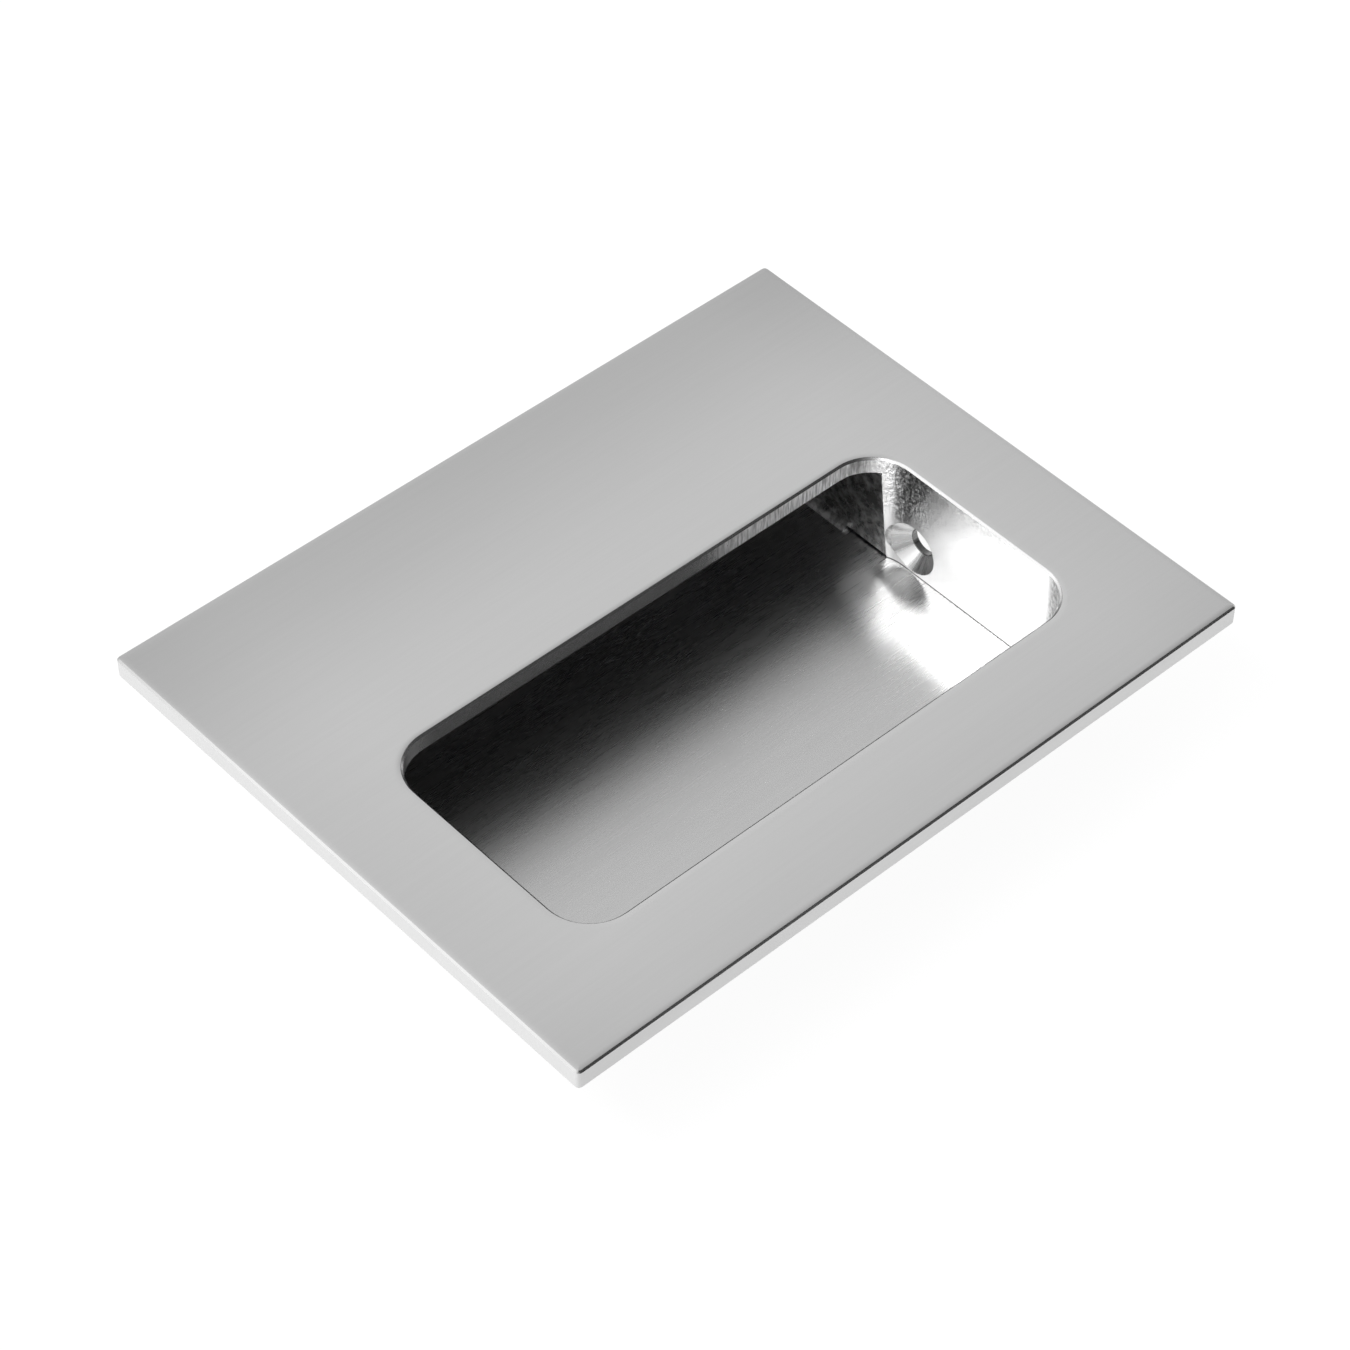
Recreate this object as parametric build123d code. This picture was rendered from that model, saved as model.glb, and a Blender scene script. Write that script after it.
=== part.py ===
from build123d import *
import os
from math import cos, radians, sqrt, tan

# Recessed pull handle of satin stainless steel, to let into a door or drawer front.
# A face plate is welded to a shallow box. The opening lies near one long edge of the plate, and
# the box runs on under the wide part of the plate, which is what the fingers pull on.
# Millimetres. The origin is the middle of the box's underside. +X runs along the plate, +Y from
# the narrow margin towards the wide one, and +Z out of the face.

# Face plate
plate_length = 127.0
plate_width = 100.0
plate_thickness = 3.5
plate_corner_radius = 0.8
plate_edge_chamfer = 0.3
plate_back_round = 0.3

# Finger opening, milled through the plate and down the end walls to the floor
opening_width = 42.8
opening_side_margin = 16.4  # from the plate's near edge
opening_end_margin = 15.6  # from each end of the plate
opening_corner_radius = 7.3
opening_chamfer = 0.35
grip_bevel = 0.6  # on the back of the far edge, where the fingers hook in

# Box behind the plate
recess_depth = 20.3  # from the face to the floor
recess_width = 67.2  # inside, from the near wall to the far wall
sheet_thickness = 2.0
inside_bend_radius = 2.0
end_wall_thickness = 4.0
end_wall_lean = 2.5  # degrees, inwards towards the plate, from the pull of the weld
end_wall_foot_stock = 0.6  # how far the unmilled foot stands inside the opening's outline

# Countersunk screw hole in each end wall
screw_hole_radius = 2.25
countersink_radius = 4.5
countersink_floor_gap = 0.4
countersink_half_angle = 45.0

# Seams of the box
open_seam_height = 0.4
open_seam_length = 8.5
open_seam_reach = 1.5
seam_bead_leg = 1.2
plate_weld_leg = 2.0

# Heights
floor_z = sheet_thickness
face_z = floor_z + recess_depth
plate_back_z = face_z - plate_thickness
inside_height = plate_back_z - floor_z

# Places across the plate
opening_near_y = opening_side_margin - plate_width / 2
opening_centre_y = opening_near_y + opening_width / 2
opening_far_y = opening_near_y + opening_width
recess_centre_y = opening_near_y + recess_width / 2
recess_far_y = opening_near_y + recess_width

# Places along the plate, at the right end
opening_length = plate_length - 2 * opening_end_margin
milled_face_x = opening_length / 2
foot_x = milled_face_x - end_wall_foot_stock
lean_shift = inside_height * tan(radians(end_wall_lean))
end_wall_run = end_wall_thickness / cos(radians(end_wall_lean))
box_half_length = foot_x + end_wall_run

# The milled corner leaves the end wall's foot here, and the seam opens behind it
corner_depth_left = opening_corner_radius - end_wall_foot_stock
corner_run = sqrt(opening_corner_radius**2 - corner_depth_left**2)
seam_start_y = opening_far_y - opening_corner_radius + corner_run
seam_bead_start_y = seam_start_y + open_seam_length

# At the plate's back the lean brings the end wall further in, and the bevel starts beside it
corner_depth_top = corner_depth_left - lean_shift
grip_bevel_start_y = (
    opening_far_y - opening_corner_radius + sqrt(opening_corner_radius**2 - corner_depth_top**2)
)


def channel_outline(width, height, corner_radius):
    # Across the box: square at the plate, with round lower corners
    outline = Rectangle(width, height, align=(Align.CENTER, Align.MIN))
    lower_corners = outline.vertices().group_by(Axis.Y)[0]
    return fillet(lower_corners, corner_radius)


def along_box(outline, bottom_z, half_length):
    # A prism of the outline along X, from end to end
    placed = Plane.YZ * Pos(recess_centre_y, bottom_z) * outline
    return extrude(placed, amount=half_length, both=True)


def across_box(outline):
    # A prism of an outline in X and Z, as wide as the inside of the box
    placed = Plane.XZ.offset(-recess_centre_y) * outline
    return extrude(placed, amount=recess_width / 2, both=True)


def opening_prism(bottom_z):
    # The path of the cutter that makes the opening
    outline = RectangleRounded(opening_length, opening_width, opening_corner_radius)
    return extrude(Pos(0, opening_centre_y, bottom_z) * outline, amount=face_z - bottom_z)


def grip_bevel_cut():
    # The bevel of the opening's back edge, kept to the side past the end walls' milled corners
    outline = RectangleRounded(
        opening_length + 2 * grip_bevel,
        opening_width + 2 * grip_bevel,
        opening_corner_radius + grip_bevel,
    )
    placed = Pos(0, opening_centre_y, plate_back_z) * outline
    ring = extrude(placed, amount=grip_bevel, taper=45)
    far_side = Box(
        plate_length, opening_width, 2 * grip_bevel, align=(Align.CENTER, Align.MIN, Align.CENTER)
    )
    return ring & (Pos(0, grip_bevel_start_y, plate_back_z) * far_side)


def face_plate():
    outline = RectangleRounded(plate_length, plate_width, plate_corner_radius)
    plate = extrude(Pos(0, 0, plate_back_z) * outline, amount=plate_thickness)
    plate -= opening_prism(plate_back_z)
    plate -= grip_bevel_cut()
    face = plate.faces().sort_by(Axis.Z)[-1]
    opening_edges = face.inner_wires()[0].edges()
    plate = chamfer(opening_edges, opening_chamfer)
    face = plate.faces().sort_by(Axis.Z)[-1]
    plate = chamfer(face.outer_wire().edges(), plate_edge_chamfer)
    back = plate.faces().sort_by(Axis.Z)[0]
    return fillet(back.outer_wire().edges(), plate_back_round)


def channel_inside(half_length):
    outline = channel_outline(recess_width, inside_height, inside_bend_radius)
    return along_box(outline, floor_z, half_length)


def recess_channel():
    # One sheet, bent up at both long edges
    outside_width = recess_width + 2 * sheet_thickness
    outside_radius = inside_bend_radius + sheet_thickness
    outline = channel_outline(outside_width, plate_back_z, outside_radius)
    return along_box(outline, 0, box_half_length) - channel_inside(box_half_length)


def leaning_slab():
    # The end wall before milling: it stands on the floor and leans in under the plate
    outline = Polygon(
        (foot_x, floor_z),
        (foot_x + end_wall_run, floor_z),
        (foot_x + end_wall_run - lean_shift, plate_back_z),
        (foot_x - lean_shift, plate_back_z),
        align=None,
    )
    return across_box(outline)


def seam_bead():
    # Weld in the inside corner under the grip, a little fuller than a straight fillet
    foot = (foot_x - seam_bead_leg, floor_z)
    top = (foot_x - seam_bead_leg * tan(radians(end_wall_lean)), floor_z + seam_bead_leg)
    middle = (foot_x - 0.6 * seam_bead_leg, floor_z + 0.6 * seam_bead_leg)
    root = (foot_x + seam_bead_leg, floor_z)
    root_top = (foot_x + seam_bead_leg, floor_z + seam_bead_leg)
    surface = ThreePointArc(foot, middle, top)
    outline = make_face([surface, Line(top, root_top), Line(root_top, root), Line(root, foot)])
    bead_length = recess_far_y - seam_bead_start_y
    placed = Plane.XZ.offset(-seam_bead_start_y) * outline
    return extrude(placed, amount=-bead_length)


def open_seam():
    # The gap left under the wall's foot between the milled corner and the weld
    outline = Rectangle(
        2 * open_seam_reach, open_seam_height, align=(Align.CENTER, Align.MIN)
    )
    placed = Plane.XZ.offset(-seam_start_y) * Pos(foot_x, floor_z) * outline
    return extrude(placed, amount=-open_seam_length)


def screw_hole():
    # Countersunk from the milled face; the cone runs on inwards through the corner's stock
    hole_y = recess_centre_y
    hole_z = floor_z + countersink_radius + countersink_floor_gap
    spread = tan(radians(countersink_half_angle))
    cone_depth = (countersink_radius - screw_hole_radius) / spread
    inward_run = end_wall_foot_stock + lean_shift
    cone = Cone(
        bottom_radius=countersink_radius + inward_run * spread,
        top_radius=screw_hole_radius,
        height=inward_run + cone_depth,
        align=(Align.CENTER, Align.CENTER, Align.MIN),
    )
    bore = Cylinder(
        screw_hole_radius,
        inward_run + end_wall_run + cone_depth,
        align=(Align.CENTER, Align.CENTER, Align.MIN),
    )
    start = Plane(
        origin=(milled_face_x - inward_run, hole_y, hole_z), x_dir=(0, 1, 0), z_dir=(1, 0, 0)
    )
    return start * cone + start * bore


def end_wall_right():
    wall = leaning_slab() - open_seam()
    wall += seam_bead()
    wall = wall & channel_inside(box_half_length)
    wall -= opening_prism(floor_z)
    return wall - screw_hole()


def end_wall_left():
    return mirror(end_wall_right(), about=Plane.YZ)


def box_hull():
    # The outside of the box between its leaning end walls, as the weld meets it
    outside_width = recess_width + 2 * sheet_thickness
    outline = Polygon(
        (-box_half_length, floor_z),
        (box_half_length, floor_z),
        (box_half_length - lean_shift, plate_back_z),
        (lean_shift - box_half_length, plate_back_z),
        align=None,
    )
    placed = Plane.XZ.offset(-recess_centre_y) * outline
    return extrude(placed, amount=outside_width / 2, both=True)


def weld_bead():
    # Fillet weld in the corner between the plate's back and the box
    outline = RectangleRounded(
        2 * (box_half_length + plate_weld_leg),
        recess_width + 2 * (sheet_thickness + plate_weld_leg),
        1.25 * plate_weld_leg,
    )
    placed = Pos(0, recess_centre_y, plate_back_z) * Rot(180, 0, 0) * outline
    block = extrude(placed, amount=plate_weld_leg, taper=45)
    return block - box_hull() - recess_channel()


nodes = {
    "face_plate": face_plate,
    "recess_channel": recess_channel,
    "end_wall_left": end_wall_left,
    "end_wall_right": end_wall_right,
    "weld_bead": weld_bead,
}

os.makedirs("parts", exist_ok=True)
for name, make in nodes.items():
    piece = make()
    solids = piece.solids()
    export_step(solids[0] if len(solids) == 1 else piece, f"parts/{name}.step")
    print(name, len(solids), "solid", round(piece.volume, 1), "mm3")
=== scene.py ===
import math

import bmesh
import bpy
from mathutils import Matrix, Vector

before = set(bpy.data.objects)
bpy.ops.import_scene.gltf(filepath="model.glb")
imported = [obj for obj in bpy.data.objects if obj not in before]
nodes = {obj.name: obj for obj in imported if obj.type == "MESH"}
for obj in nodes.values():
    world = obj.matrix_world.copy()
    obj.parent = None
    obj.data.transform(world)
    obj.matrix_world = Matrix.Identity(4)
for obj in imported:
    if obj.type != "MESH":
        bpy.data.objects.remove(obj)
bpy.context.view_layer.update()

mm = 0.001
micron = 0.000001
print("frame loaded")


# Colours are sRGB hex, turned to linear here
def linearColour(hexText):
    values = [int(hexText[i:i + 2], 16) / 255 for i in (1, 3, 5)]
    linear = [v / 12.92 if v <= 0.04045 else ((v + 0.055) / 1.055) ** 2.4 for v in values]
    return (*linear, 1.0)


def newMaterial(name):
    material = bpy.data.materials.new(name)
    material.use_nodes = True
    material.node_tree.nodes.clear()
    return material


# Adds a node. A word is one of its properties or a socket, s0, s1 a socket by its number, and a
# node given as a value is linked by its first output
def addNode(tree, kind, **values):
    node = tree.nodes.new("ShaderNode" + kind)
    for key, value in values.items():
        if hasattr(node, key):
            setattr(node, key, value)
            continue
        socket = node.inputs[int(key[1:])] if key[1:].isdigit() else node.inputs[key.replace("_", " ")]
        if isinstance(value, bpy.types.Node):
            value = value.outputs[0]
        if isinstance(value, bpy.types.NodeSocket):
            tree.links.new(value, socket)
        else:
            socket.default_value = value
    return node


# Camera: where the photograph was taken from, in millimetres in the part's frame
camera = {
    "place": (-266.98, -288.52, 432.91),
    "target": (-6.38, -5.84, 22.3),
    "roll": 0.556,
    "lens": 105.585,
}


def makeCamera():
    place = Vector(camera["place"]) * mm
    target = Vector(camera["target"]) * mm
    data = bpy.data.cameras.new("photoCamera")
    data.lens = camera["lens"]
    data.sensor_width = 36
    data.clip_start = 0.01
    data.clip_end = 50
    eye = bpy.data.objects.new("photoCamera", data)
    turn = (target - place).to_track_quat("-Z", "Y").to_matrix().to_4x4()
    roll = Matrix.Rotation(math.radians(camera["roll"]), 4, "Z")
    eye.matrix_world = Matrix.Translation(place) @ turn @ roll
    bpy.context.scene.collection.objects.link(eye)
    bpy.context.scene.camera = eye


makeCamera()
print("camera placed")


# Studio: the room is bright behind the grip side and darker in front of the narrow margin, with
# a white band round the horizon. A large soft box stands at the left, and a small key light in
# a long sheet above it shines into the recess.
studio = {
    "brightSide": (-0.4, 0.917, 0.0),
    # share of the way round to the bright side, and the level there
    "room": [(0.0, 0.06), (0.22, 0.09), (0.54, 0.90), (0.72, 0.92), (1.0, 1.2)],
    "horizon": (0.02, 0.16),
    "horizonLevel": 1.0,
    "lamps": {
        "softBox": {"place": (-796, 460, 771), "size": (1500, 1050), "level": 0.5},
        "keyLight": {"place": (-548, 165, 938), "size": (320, 250), "level": 9.0},
        "keySheet": {"place": (-539, 90, 950), "size": (860, 280), "level": 4.3},
    },
}


def makeRoom():
    world = bpy.data.worlds.new("studioRoom")
    bpy.context.scene.world = world
    world.use_nodes = True
    tree = world.node_tree
    tree.nodes.clear()
    direction = addNode(tree, "TexCoord").outputs["Generated"]
    towards = addNode(tree, "VectorMath", operation="DOT_PRODUCT", s0=direction, s1=studio["brightSide"])
    share = addNode(tree, "MapRange", Value=towards.outputs["Value"], From_Min=-1.0, From_Max=1.0)
    ramp = addNode(tree, "ValToRGB", Fac=share)
    steps = ramp.color_ramp.elements
    while len(steps) < len(studio["room"]):
        steps.new(0.5)
    for step, (position, level) in zip(steps, studio["room"]):
        step.position = position
        step.color = (level, level, level, 1)
    height = addNode(tree, "SeparateXYZ", Vector=direction).outputs["Z"]
    low, high = studio["horizon"]
    white = studio["horizonLevel"]
    above = addNode(tree, "MapRange", interpolation_type="SMOOTHSTEP", Value=height, From_Min=low, From_Max=high)
    mixed = addNode(tree, "Mix", data_type="RGBA", s0=above, s6=(white, white, white, 1), s7=ramp)
    background = addNode(tree, "Background", Color=mixed.outputs[2], Strength=1.0)
    addNode(tree, "OutputWorld", Surface=background)


# Each lamp faces the handle, and its level is how bright its sheet looks
def makeLamps():
    for name, values in studio["lamps"].items():
        width, height = (side * mm for side in values["size"])
        lamp = bpy.data.lights.new(name, "AREA")
        lamp.shape = "RECTANGLE"
        lamp.size = width
        lamp.size_y = height
        lamp.energy = values["level"] * math.pi * width * height
        place = Vector(values["place"]) * mm
        turn = (-place).to_track_quat("-Z", "Y").to_matrix().to_4x4()
        carrier = bpy.data.objects.new(name, lamp)
        carrier.matrix_world = Matrix.Translation(place) @ turn
        bpy.context.scene.collection.objects.link(carrier)


makeRoom()
makeLamps()
bpy.context.scene.view_settings.view_transform = "Standard"
print("studio lit")


# Floor: matt white paper. What the camera and the steel see of it is mostly its own white,
# so the background stays white and a faint shadow is left.
paper = {
    "size": 3000,
    "gap": 0.05,
    "colour": "#eeeeee",
    "ownWhite": 0.9,
    "whiteLevel": 1.05,
}


def makeFloor():
    mesh = bpy.data.meshes.new("floorPaper")
    shape = bmesh.new()
    bmesh.ops.create_grid(shape, x_segments=1, y_segments=1, size=paper["size"] / 2 * mm)
    bmesh.ops.translate(shape, verts=shape.verts, vec=(0, 0, -paper["gap"] * mm))
    shape.to_mesh(mesh)
    shape.free()
    floor = bpy.data.objects.new("floorPaper", mesh)
    bpy.context.scene.collection.objects.link(floor)
    material = newMaterial("mattWhitePaper")
    tree = material.node_tree
    matt = addNode(tree, "BsdfDiffuse", Color=linearColour(paper["colour"]))
    own = addNode(tree, "Emission", Color=(1, 1, 1, 1), Strength=paper["whiteLevel"])
    rays = addNode(tree, "LightPath").outputs
    seen = addNode(tree, "Math", operation="MAXIMUM", s0=rays["Is Camera Ray"], s1=rays["Is Glossy Ray"])
    seen = addNode(tree, "Math", operation="MAXIMUM", s0=seen, s1=rays["Is Transmission Ray"])
    share = addNode(tree, "Math", operation="MULTIPLY", s0=seen, s1=paper["ownWhite"])
    both = addNode(tree, "MixShader", s0=share, s1=matt, s2=own)
    addNode(tree, "OutputMaterial", Surface=both)
    mesh.materials.append(material)


makeFloor()
print("floor laid")


def dress(name, material):
    mesh = nodes[name].data
    mesh.materials.clear()
    mesh.materials.append(material)


# Where a surface is, in millimetres, and which way it faces
def surfaceOf(tree):
    coordinates = addNode(tree, "TexCoord").outputs
    place = addNode(tree, "Mapping", Vector=coordinates["Object"], Scale=(1000, 1000, 1000))
    facing = coordinates["Normal"]
    return place, facing, *addNode(tree, "SeparateXYZ", Vector=place).outputs


# Noise with marks of a given size along X, Y and Z in millimetres
def grain(tree, place, size, detail=2.0, shift=0.0):
    sized = addNode(
        tree, "Mapping", Vector=place, Location=(shift, shift, shift), Scale=tuple(1 / side for side in size)
    )
    return addNode(tree, "TexNoise", Vector=sized, Scale=1.0, Detail=detail, Roughness=0.6)


# A level that moves up and down with noises
def waver(tree, level, *waves):
    for noise, amount in waves:
        centred = addNode(tree, "Math", operation="SUBTRACT", s0=noise, s1=0.5)
        level = addNode(tree, "Math", operation="MULTIPLY_ADD", s0=centred, s1=amount, s2=level)
    return level


# Where a value passes softly from low to high, times the same for further values
def zone(tree, *limits):
    share = 1.0
    for value, low, high in limits:
        step = addNode(tree, "MapRange", interpolation_type="SMOOTHSTEP", s0=value, s1=low, s2=high)
        share = addNode(tree, "Math", operation="MULTIPLY", s0=step, s1=share)
    return share


# The value for the plain surface, changed over one zone after the other
def layered(tree, value, *layers):
    for share, changed in layers:
        value = addNode(tree, "Mix", s0=share, s2=value, s3=changed)
    return value


# The finger opening in the plate, a rounded rectangle that the cutter followed
opening = {"halfLength": 47.9, "nearY": -33.6, "farY": 9.2, "cornerRadius": 7.3}


# How far a point lies outside the opening's edge, in millimetres (negative inside)
def pastOpening(tree, x, y):
    radius = opening["cornerRadius"]
    halfWidth = (opening["farY"] - opening["nearY"]) / 2
    centreY = (opening["farY"] + opening["nearY"]) / 2
    fromCentre = addNode(tree, "Math", operation="SUBTRACT", s0=y, s1=centreY)
    outside = []
    for value, half in ((x, opening["halfLength"]), (fromCentre, halfWidth)):
        size = addNode(tree, "Math", operation="ABSOLUTE", s0=value)
        outside.append(addNode(tree, "Math", operation="SUBTRACT", s0=size, s1=half - radius))
    corner = [addNode(tree, "Math", operation="MAXIMUM", s0=side, s1=0.0) for side in outside]
    run = addNode(tree, "VectorMath", operation="LENGTH", s0=addNode(tree, "CombineXYZ", s0=corner[0], s1=corner[1]))
    larger = addNode(tree, "Math", operation="MAXIMUM", s0=outside[0], s1=outside[1])
    within = addNode(tree, "Math", operation="MINIMUM", s0=larger, s1=0.0)
    total = addNode(tree, "Math", operation="ADD", s0=run.outputs["Value"], s1=within)
    return addNode(tree, "Math", operation="SUBTRACT", s0=total, s1=radius)


# Which way the light is spread: across the grain
def acrossGrain(tree, facing, milled, edge):
    sideways = addNode(tree, "SeparateXYZ", Vector=facing).outputs
    back = addNode(tree, "Math", operation="MULTIPLY", s0=sideways["X"], s1=-1.0)
    aroundArc = addNode(tree, "CombineXYZ", s0=sideways["Y"], s1=back, s2=0.0)
    flat = addNode(tree, "Mix", data_type="VECTOR", s0=edge, s4=(0.0, 1.0, 0.02), s5=(0.02, 0.02, 1.0))
    return addNode(tree, "Mix", data_type="VECTOR", s0=milled, s4=flat.outputs[1], s5=aroundArc).outputs[1]


# Joins a steel's colour, finish and relief in one shader
def steelShader(material, finish, tone, roughness, relief, across):
    tree = material.node_tree
    colour = addNode(tree, "VectorMath", operation="SCALE", s0=linearColour(finish["steel"])[:3], Scale=tone)
    bump = addNode(tree, "Bump", Strength=1.0, Distance=micron, Height=relief)
    shader = addNode(
        tree, "BsdfPrincipled", Base_Color=colour, Metallic=1.0, Roughness=roughness,
        Anisotropic=finish["anisotropy"], Anisotropic_Rotation=0.0, Normal=bump, Tangent=across,
    )
    addNode(tree, "OutputMaterial", Surface=shader)
    return material


# Milling: what the cutter left inside the opening, on the plate's edge and the end walls alike.
# Upright marks, slow waves and pits, rougher where the cutter rubbed. The tones are painted light
# and shade: lighter at both ends and over the right part, lighter still high on the right end wall and
# round the far right corner, darker elsewhere, with a dark painted reflection high on the right wall.
# Pairs for x, y and z are the places in millimetres between which a zone fades in
milling = {
    # Painted light and shade: the first tone lightens both ends and the right part, the smooth tone darkens the rest
    "tone": 1.13,
    "shadedMiddleTone": 0.62,
    "roughness": 0.32,
    "smoothRoughness": 0.23,
    "rubbedX": (10, 20),
    "leftEndX": (-38, -43),
    "pitted": {"y": (-4.5, 0.5), "z": (10, 15)},
    "nearCorner": {"x": (36, 42), "y": (-27.2, -28.8)},
    "topBand": {"y": (-33.0, -32.0), "z": (19, 21.5), "share": 0.4},
    "cutterMark": (0.4, 0.4, 4.0),
    "cutterTone": 0.05,
    "cutterDepth": (5, 40),  # microns, smooth and rubbed
    "swirl": (2.4, 2.4, 3.2),
    "swirlDepth": 30,
    "unevenness": 0.1,  # how much swirls and pits change the roughness
    "chipMark": (0.6, 0.6, 0.7),  # pits of about 0.2 mm, drawn three times as coarse
    "chipShare": (0.38, 0.68),
    "chipDepth": (6, 150),
    "chipTone": 0.8,
    # Painted highlight: the upper right end wall is lightened
    "wall": {"x": (42, 46), "y": (3.0, -2.0), "z": (7, 15), "tone": 1.5},
    # Painted highlight: the far right corner arc is lightened
    "arc": {"yStart": (3.5, 4.6), "yEnd": (8.6, 7.6), "tone": 1.6},
    "ticks": {"y": (7.0, 8.0), "tone": 3.0},
    # Painted reflection: a dark, slant-edged patch high on the right end wall, broken by lighter pits
    "darkReflection": {
        "slope": 0.486, "slant": (6.6, 8.2), "ragged": 5.0,
        "y": (4.8, 3.4), "z": (9.0, 12.5), "tones": (0.42, 1.35),
    },
}


def millingMarks(tree, place, x, y, z):
    finish = milling
    cutterMark = grain(tree, place, finish["cutterMark"])
    swirl = grain(tree, place, finish["swirl"], shift=4.0)
    chipMark = grain(tree, place, finish["chipMark"], detail=3.0)
    rubbedX = (x, *finish["rubbedX"])
    leftEnd = zone(tree, (x, *finish["leftEndX"]))
    wornAndLightened = addNode(tree, "Math", operation="MAXIMUM", s0=zone(tree, rubbedX), s1=leftEnd)
    rubbed = zone(tree, rubbedX, (y, *finish["pitted"]["y"]), (z, *finish["pitted"]["z"]))
    corner, band = finish["nearCorner"], finish["topBand"]
    nearCorner = zone(tree, (x, *corner["x"]), (y, *corner["y"]))
    topBand = zone(tree, (y, *band["y"]), (z, *band["z"]))
    topBand = addNode(tree, "Math", operation="MULTIPLY", s0=topBand, s1=band["share"])
    edges = addNode(tree, "Math", operation="MAXIMUM", s0=nearCorner, s1=topBand)
    pitted = addNode(tree, "Math", operation="MAXIMUM", s0=rubbed, s1=edges)
    chip = zone(tree, (chipMark, *finish["chipShare"]))
    chipped = addNode(tree, "Math", operation="MULTIPLY", s0=chip, s1=edges)

    wall, arc, ticks, darkReflection = (finish[name] for name in ("wall", "arc", "ticks", "darkReflection"))
    # Painted reflection: where the dark patch lies
    slant = addNode(tree, "Math", operation="MULTIPLY_ADD", s0=z, s1=darkReflection["slope"], s2=y)
    slant = waver(tree, slant, (swirl, darkReflection["ragged"]), (chipMark, darkReflection["ragged"]))
    darkReflectionZone = zone(tree, rubbedX, (slant, *darkReflection["slant"]), (z, *darkReflection["z"]), (y, *darkReflection["y"]))
    # Painted highlight: the upper right end wall is lightened
    wallHighlight = zone(tree, (x, *wall["x"]), (y, *wall["y"]), (z, *wall["z"]))
    # Painted highlight: the far right corner arc is lightened
    arcHighlight = zone(tree, (y, *arc["yStart"]), rubbedX, (y, *arc["yEnd"]))
    tickZone = zone(tree, rubbedX, (y, *ticks["y"]))
    # Painted light and shade: darker middle, lighter ends and right part, lighter upper right wall and far right
    # corner; darker pits
    tone = layered(
        tree, finish["shadedMiddleTone"],
        (wornAndLightened, finish["tone"]), (wallHighlight, wall["tone"]), (arcHighlight, arc["tone"]), (chipped, finish["chipTone"]),
    )
    tone = waver(tree, tone, (cutterMark, layered(tree, finish["cutterTone"], (tickZone, ticks["tone"]))))
    # Painted reflection: dark, with lighter pits
    dark, light = darkReflection["tones"]
    tone = layered(tree, tone, (darkReflectionZone, layered(tree, dark, (chip, light))))

    roughness = layered(tree, finish["smoothRoughness"], (wornAndLightened, finish["roughness"]))
    roughness = waver(tree, roughness, (swirl, finish["unevenness"]), (chipMark, finish["unevenness"]))
    smooth, deep = finish["chipDepth"]
    chipDepth = layered(tree, smooth, (pitted, deep))
    smooth, deep = finish["cutterDepth"]
    cutterDepth = layered(tree, smooth, (rubbed, deep))
    relief = waver(tree, 0.0, (cutterMark, cutterDepth), (swirl, finish["swirlDepth"]), (chipMark, chipDepth))
    return tone, roughness, relief


# Face plate: stainless steel ground to a satin along its length. The eye gets an even, soft grey
# with hair-fine lines, bright eased edges and short cutter marks inside the opening
facePlate = {
    "steel": "#cfcfcf",
    "anisotropy": 0.6,
    "hairline": (9, 0.16, 0.16),  # a 320 grit leaves lines 0.03 mm apart, drawn five times as coarse
    "streak": (34, 0.7, 0.7),
    # Painted shade: the face's colour darkens towards the far edge, the near edge and the ends, and along the
    # opening's far rim
    "cloud": (22, 6, 6),
    "farPaintedShade": 0.2,
    "farFade": (14, 54),
    "nearPaintedShade": 0.06,
    "nearFade": (-34, -52),
    "endPaintedShade": 0.06,
    "endFade": (42, 66),
    "rimPaintedShade": 0.1,
    "rimFade": (1.5, 0.35),  # millimetres from the opening
    "rimY": (4.0, 8.0),
    # Painted light: the outer sides' colour is lifted by a fifth
    "sidePaintedLight": 1.2,
    # Painted shade: the underside's colour is darkened
    "backPaintedShade": 0.6,
    "roughness": {"face": 0.31, "edge": 0.5, "chamfer": 0.24, "back": 0.38},
    "edgeGrind": (0.9, 0.9, 0.12),
    "edgeDepth": 2,  # microns
    "lineDepth": 1.2,
    "halfSize": (63.5, 50.0, 0.0),
    "rollFade": (1.3, 0.3),  # millimetres from an edge, where polishing has rolled the face off
    "rollDepth": 130,
}


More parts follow.
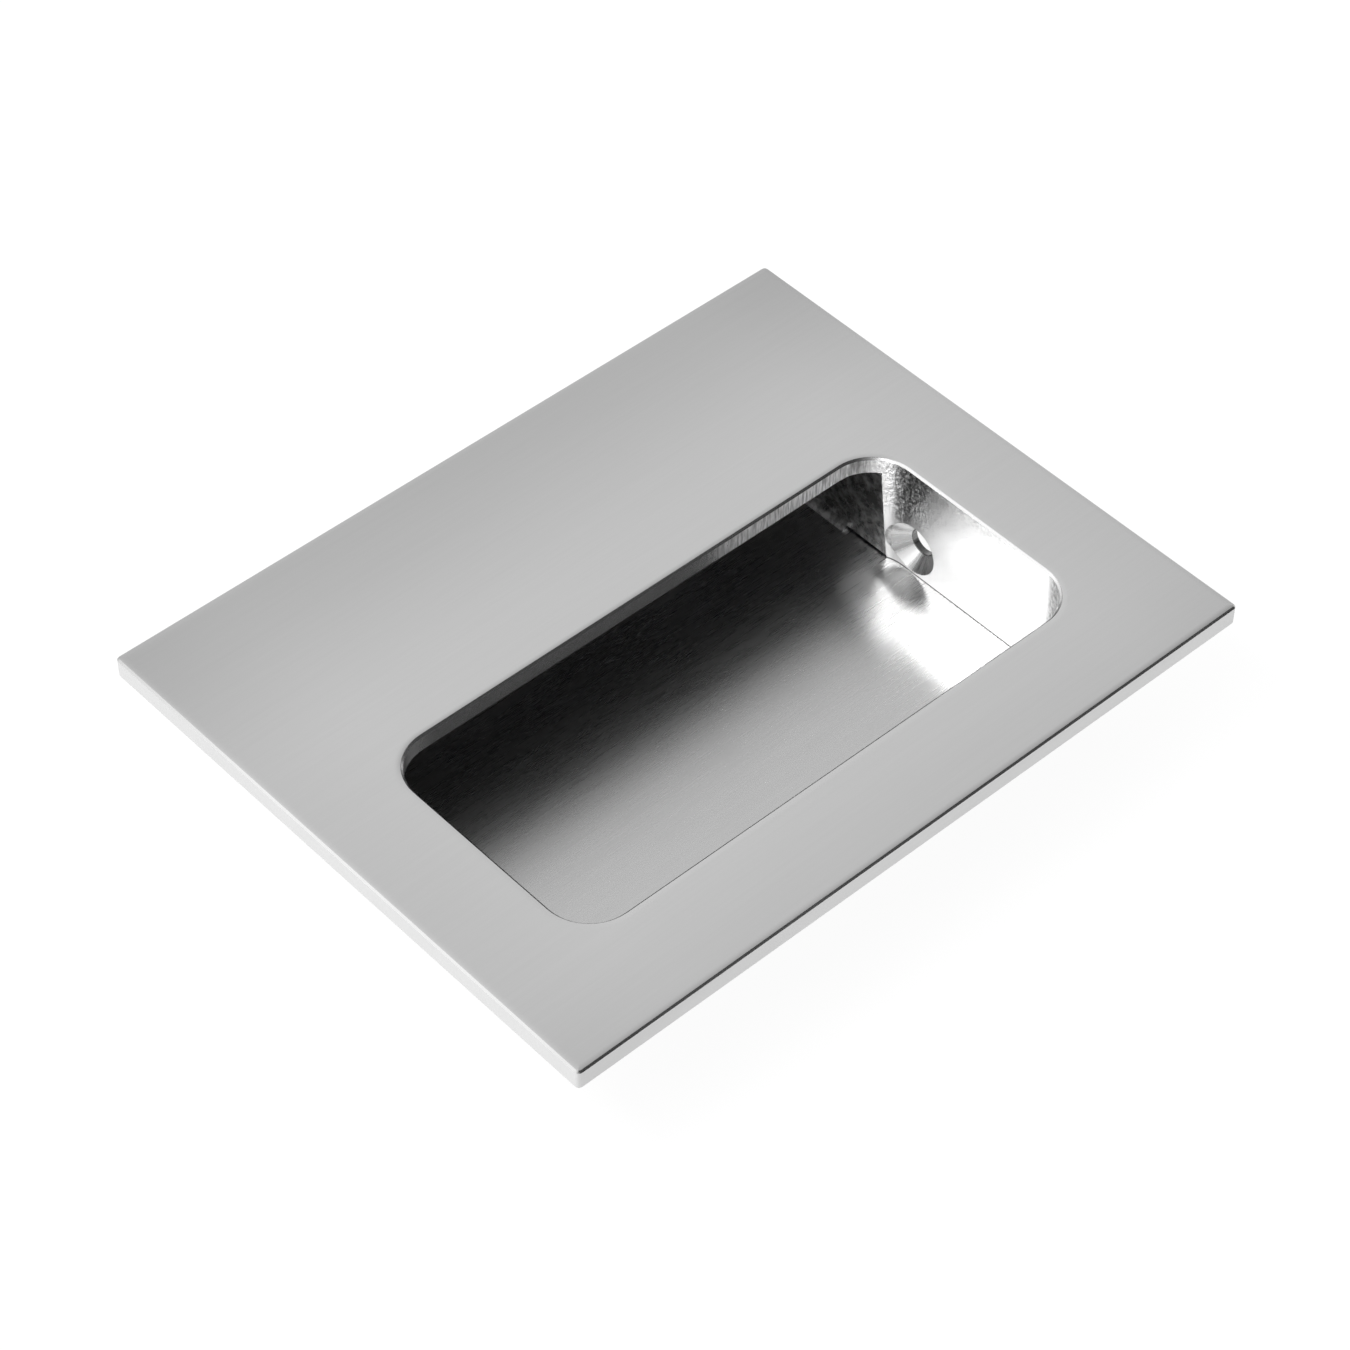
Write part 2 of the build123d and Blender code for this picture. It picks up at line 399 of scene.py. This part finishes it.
def satinPlate():
    finish = facePlate
    material = newMaterial("satinStainlessPlate")
    tree = material.node_tree
    place, facing, x, y, z = surfaceOf(tree)
    up = addNode(tree, "SeparateXYZ", Vector=facing).outputs["Z"]
    awayX = addNode(tree, "Math", operation="ABSOLUTE", s0=x)
    edge = zone(tree, (addNode(tree, "Math", operation="ABSOLUTE", s0=up), 0.35, 0.3))
    past = pastOpening(tree, x, y)
    milled = addNode(tree, "Math", operation="MULTIPLY", s0=edge, s1=zone(tree, (past, 0.62, 0.6)))
    chamfer = zone(tree, (up, 0.3, 0.4), (up, 0.95, 0.85))
    back = zone(tree, (up, -0.5, -0.6))

    hairline = grain(tree, place, finish["hairline"])
    streak = grain(tree, place, finish["streak"], shift=7.0)
    cloud = grain(tree, place, finish["cloud"], detail=3.0, shift=3.0)
    grind = grain(tree, place, finish["edgeGrind"])
    milledTone, milledRoughness, milledRelief = millingMarks(tree, place, x, y, z)
    faceTone = waver(tree, 1.0, (hairline, 0.06), (streak, 0.05), (cloud, 0.04))
    rim = (past, *finish["rimFade"])
    rolled = zone(tree, rim, rim, (y, *finish["rimY"]))  # twice, so that it starts softly
    # Painted shade: each share darkens the face's colour by its amount, at the far and near edges, the ends and the
    # far rim
    for share, fall in (
        (zone(tree, (y, *finish["farFade"])), "farPaintedShade"),
        (zone(tree, (y, *finish["nearFade"])), "nearPaintedShade"),
        (zone(tree, (awayX, *finish["endFade"])), "endPaintedShade"),
        (rolled, "rimPaintedShade"),
    ):
        kept = layered(tree, 1.0, (share, 1.0 - finish[fall]))
        faceTone = addNode(tree, "Math", operation="MULTIPLY", s0=faceTone, s1=kept)
    # Painted light: the outer sides are lightened
    sidePaintedLight = waver(tree, finish["sidePaintedLight"], (streak, 0.05), (grind, 0.05))
    # Painted shade: the underside's colour is darkened
    backPaintedShade = waver(tree, finish["backPaintedShade"], (streak, 0.1), (cloud, 0.2))
    tone = layered(tree, faceTone, (edge, sidePaintedLight), (milled, milledTone), (back, backPaintedShade))

    levels = finish["roughness"]
    roughness = layered(
        tree,
        waver(tree, levels["face"], (hairline, 0.10), (cloud, 0.05)),
        (edge, waver(tree, levels["edge"], (cloud, 0.1))),
        (milled, milledRoughness),
        (chamfer, waver(tree, levels["chamfer"], (streak, 0.2))),
        (back, waver(tree, levels["back"], (cloud, 0.2))),
    )
    fromMiddle = addNode(tree, "VectorMath", operation="ABSOLUTE", s0=place)
    fromEdge = addNode(tree, "VectorMath", operation="SUBTRACT", s0=finish["halfSize"], s1=fromMiddle)
    fromEdge = addNode(tree, "SeparateXYZ", Vector=fromEdge).outputs
    fromEdge = addNode(tree, "Math", operation="MINIMUM", s0=fromEdge["X"], s1=fromEdge["Y"])
    fromEdge = addNode(tree, "Math", operation="MINIMUM", s0=fromEdge, s1=past)
    roll = addNode(tree, "MapRange", s0=fromEdge, s1=finish["rollFade"][0], s2=finish["rollFade"][1])
    roll = addNode(tree, "Math", operation="POWER", s0=roll, s1=2.0)
    roll = addNode(tree, "Math", operation="MULTIPLY", s0=roll, s1=-finish["rollDepth"])
    faceRelief = waver(tree, roll, (hairline, finish["lineDepth"]))
    edgeRelief = waver(tree, 0.0, (grind, finish["edgeDepth"]))
    relief = layered(tree, faceRelief, (edge, edgeRelief), (milled, milledRelief))
    across = acrossGrain(tree, facing, milled, edge)
    return steelShader(material, finish, tone, roughness, relief, across)


dress("face_plate", satinPlate())
print("face plate finished")


# Recess channel: sheet brushed along its length before it was bent. The floor shows fine
# straight lines that streak the light, and fades from black under the plate to pale grey;
# its colour is darkened towards and under the grip as painted shade
recessChannel = {
    "steel": "#cdcdcd",
    "anisotropy": 0.8,
    "brushLine": (7, 0.17, 0.17),  # a 120 grit leaves lines 0.08 mm apart, drawn twice as coarse
    "brushStreak": (26, 0.6, 0.6),
    "cloud": (12, 5, 5),
    "lineDepth": 1.4,  # microns
    "streakDepth": 1.6,
    "roughness": 0.28,
    "cutEndRoughness": 0.5,
    # Painted shade: the colour towards and under the grip is darkened
    "gripPaintedShade": 0.78,
    "gripFade": (-2, 5),
}


def brushedSheet():
    finish = recessChannel
    material = newMaterial("brushedSheet")
    tree = material.node_tree
    place, facing, x, y, z = surfaceOf(tree)
    brushLine = grain(tree, place, finish["brushLine"], detail=3.0)
    brushStreak = grain(tree, place, finish["brushStreak"], shift=5.0)
    cloud = grain(tree, place, finish["cloud"], detail=3.0, shift=2.0)
    sideways = addNode(tree, "VectorMath", operation="ABSOLUTE", s0=facing)
    sideways = addNode(tree, "SeparateXYZ", Vector=sideways).outputs
    cutEnd = zone(tree, (sideways["X"], 0.5, 0.6))
    wall = zone(tree, (sideways["Y"], 0.6, 0.8))
    tone = waver(tree, 1.0, (brushLine, 0.11), (brushStreak, 0.05), (cloud, 0.04))
    # Painted shade under the grip
    underGrip = zone(tree, (y, *finish["gripFade"]), (z, 1.0, 1.5))
    shade = layered(tree, 1.0, (underGrip, finish["gripPaintedShade"]))
    tone = addNode(tree, "Math", operation="MULTIPLY", s0=tone, s1=shade)
    roughness = waver(tree, finish["roughness"], (brushLine, 0.12), (cloud, 0.05))
    roughness = layered(tree, roughness, (cutEnd, finish["cutEndRoughness"]))
    relief = waver(tree, 0.0, (brushLine, finish["lineDepth"]), (brushStreak, finish["streakDepth"]))
    across = acrossGrain(tree, facing, cutEnd, wall)
    return steelShader(material, finish, tone, roughness, relief, across)


dress("recess_channel", brushedSheet())
print("recess channel finished")


# End walls: plate, milled bright where the cutter came down through the opening, with upright
# cutter marks, and left with the mottled skin of the rolling mill under the grip. Part of the milled
# face's brightness and the skin's lightness under the grip are painted light
endWall = {
    "steel": "#cfcfcf",
    "anisotropy": 0.6,
    "skinRoughness": 0.3,
    # Painted light: both clouds of the skin under the grip are lightened
    "skinMottleAndLight": (0.9, 1.6),  # the dark and light clouds under the grip
    "cloudShare": (0.4, 0.66),
    "outerTone": 0.8,
    "innerX": (48.6, 48.3),  # between the wall's two sides
    "mottle": (3.2, 3.2, 3.2),
    "skin": (1.4, 1.4, 1.4),
    "skinDepth": 12,  # microns
    "floorHeight": 2.0,
    "footLine": 0.2,  # millimetres of shade in the joint with the floor
    "footTone": 0.1,
    "holeHeight": 6.9,
    "holeReach": (4.65, 4.62),
    "holeFacing": (0.9, 0.85),
    "holeRoughness": 0.28,
    "coneTone": 1.5,
    "boreReach": (2.4, 2.3),
    # Painted shade: the bore of the screw hole is darkened
    "boreShadeTone": 0.35,
    "fleckShare": (0.5, 0.58),
    "fleckY": (0.2, -1.2),
    "fleckReach": ((4.7, 4.5), (2.3, 2.4)),
    "fleckTone": 1.6,
    "chatter": (0.33, 0.33, 0.33),
    "chatterDepth": 60,
}


def milledPlate():
    finish = endWall
    material = newMaterial("milledPlate")
    tree = material.node_tree
    place, facing, x, y, z = surfaceOf(tree)
    past = pastOpening(tree, x, y)
    milled = zone(tree, (past, 0.06, 0.045))
    fromHole = addNode(tree, "Math", operation="SUBTRACT", s0=z, s1=finish["holeHeight"])
    spoke = addNode(tree, "CombineXYZ", s0=0.0, s1=y, s2=fromHole)
    reach = addNode(tree, "VectorMath", operation="LENGTH", s0=spoke).outputs["Value"]
    sideways = addNode(tree, "VectorMath", operation="ABSOLUTE", s0=facing)
    sideways = addNode(tree, "SeparateXYZ", Vector=sideways).outputs["X"]
    inHole = (sideways, *finish["holeFacing"])
    hole = zone(tree, (reach, *finish["holeReach"]), inHole)
    worked = addNode(tree, "Math", operation="MAXIMUM", s0=milled, s1=hole)

    skin = grain(tree, place, finish["skin"], detail=5.0, shift=9.0)
    mottle = grain(tree, place, finish["mottle"], detail=3.0, shift=6.0)
    outwards = addNode(tree, "VectorMath", operation="NORMALIZE", s0=spoke)
    chatter = grain(tree, outwards, finish["chatter"], detail=1.0)
    milledTone, milledRoughness, milledRelief = millingMarks(tree, place, x, y, z)

    # Painted light: both clouds of the skin under the grip are lightened
    dark, light = finish["skinMottleAndLight"]
    cloud = zone(tree, (waver(tree, skin, (mottle, 0.6)), *finish["cloudShare"]))
    clouds = layered(tree, dark, (cloud, light))
    inner = zone(tree, (addNode(tree, "Math", operation="ABSOLUTE", s0=x), *finish["innerX"]))
    skinMottleAndLight = waver(tree, finish["outerTone"], (skin, 0.2), (mottle, 0.3))
    skinMottleAndLight = layered(tree, skinMottleAndLight, (inner, clouds))
    footTop = finish["floorHeight"] + finish["footLine"]
    foot = zone(tree, (z, footTop, footTop - finish["footLine"] / 2))
    foot = addNode(tree, "Math", operation="MULTIPLY", s0=worked, s1=foot)
    # Painted shade: the bore of the screw hole is darkened
    bore = zone(tree, (reach, *finish["boreReach"]), inHole)
    outerRim, innerRim = finish["fleckReach"]
    flecks = zone(
        tree, (skin, *finish["fleckShare"]), (y, *finish["fleckY"]), (reach, *outerRim), (reach, *innerRim), inHole
    )
    tone = layered(
        tree, skinMottleAndLight, (worked, milledTone), (hole, finish["coneTone"]), (foot, finish["footTone"]),
        (bore, finish["boreShadeTone"]), (flecks, finish["fleckTone"]),
    )
    skinRoughness = waver(tree, finish["skinRoughness"], (skin, 0.25), (mottle, 0.3))
    holeRoughness = waver(tree, finish["holeRoughness"], (chatter, 0.2))
    roughness = layered(tree, skinRoughness, (milled, milledRoughness), (hole, holeRoughness))
    skinRelief = waver(tree, 0.0, (skin, finish["skinDepth"]))
    holeRelief = waver(tree, 0.0, (chatter, finish["chatterDepth"]))
    relief = layered(tree, skinRelief, (milled, milledRelief), (hole, holeRelief))
    across = acrossGrain(tree, facing, worked, worked)
    return steelShader(material, finish, tone, roughness, relief, across)


wallFinish = milledPlate()
for name in ("end_wall_left", "end_wall_right"):
    dress(name, wallFinish)
print("end walls finished")


# Weld: the bead as it was laid, a darker steel with close ripples across it
weldBead = {
    "steel": "#a4a4a4",
    "anisotropy": 0.0,
    "roughness": 0.4,
    "ripple": 1.6,
    "rippleDepth": 110,  # microns
    "waviness": 0.9,  # how far a ripple strays from straight
    "hollow": 0.5,  # how far it bends over the height of the bead
    "skin": (1.0, 1.0, 1.0),
    "skinDepth": 30,
    "soot": (9.0, 9.0, 9.0),
    "tone": 0.95,
    "sootTone": 0.9,
}


def rippledWeld():
    finish = weldBead
    material = newMaterial("rippledWeld")
    tree = material.node_tree
    place, facing, x, y, z = surfaceOf(tree)
    skin = grain(tree, place, finish["skin"], detail=4.0)
    soot = grain(tree, place, finish["soot"])
    sideways = addNode(tree, "VectorMath", operation="ABSOLUTE", s0=facing)
    sideways = addNode(tree, "SeparateXYZ", Vector=sideways).outputs
    atEnd = addNode(tree, "Math", operation="GREATER_THAN", s0=sideways["X"], s1=sideways["Y"])
    along = waver(tree, layered(tree, x, (atEnd, y)), (skin, finish["waviness"]), (z, finish["hollow"]))
    turn = addNode(tree, "Math", operation="MULTIPLY", s0=along, s1=2 * math.pi / finish["ripple"])
    ripple = addNode(tree, "Math", operation="SINE", s0=turn)
    ripple = addNode(tree, "Math", operation="MULTIPLY", s0=ripple, s1=finish["rippleDepth"])
    tone = waver(tree, finish["tone"], (skin, 0.3), (soot, finish["sootTone"]))
    roughness = waver(tree, finish["roughness"], (skin, 0.3))
    relief = waver(tree, ripple, (skin, finish["skinDepth"]))
    across = acrossGrain(tree, facing, 0.0, 0.0)
    return steelShader(material, finish, tone, roughness, relief, across)


dress("weld_bead", rippledWeld())
print("weld finished")
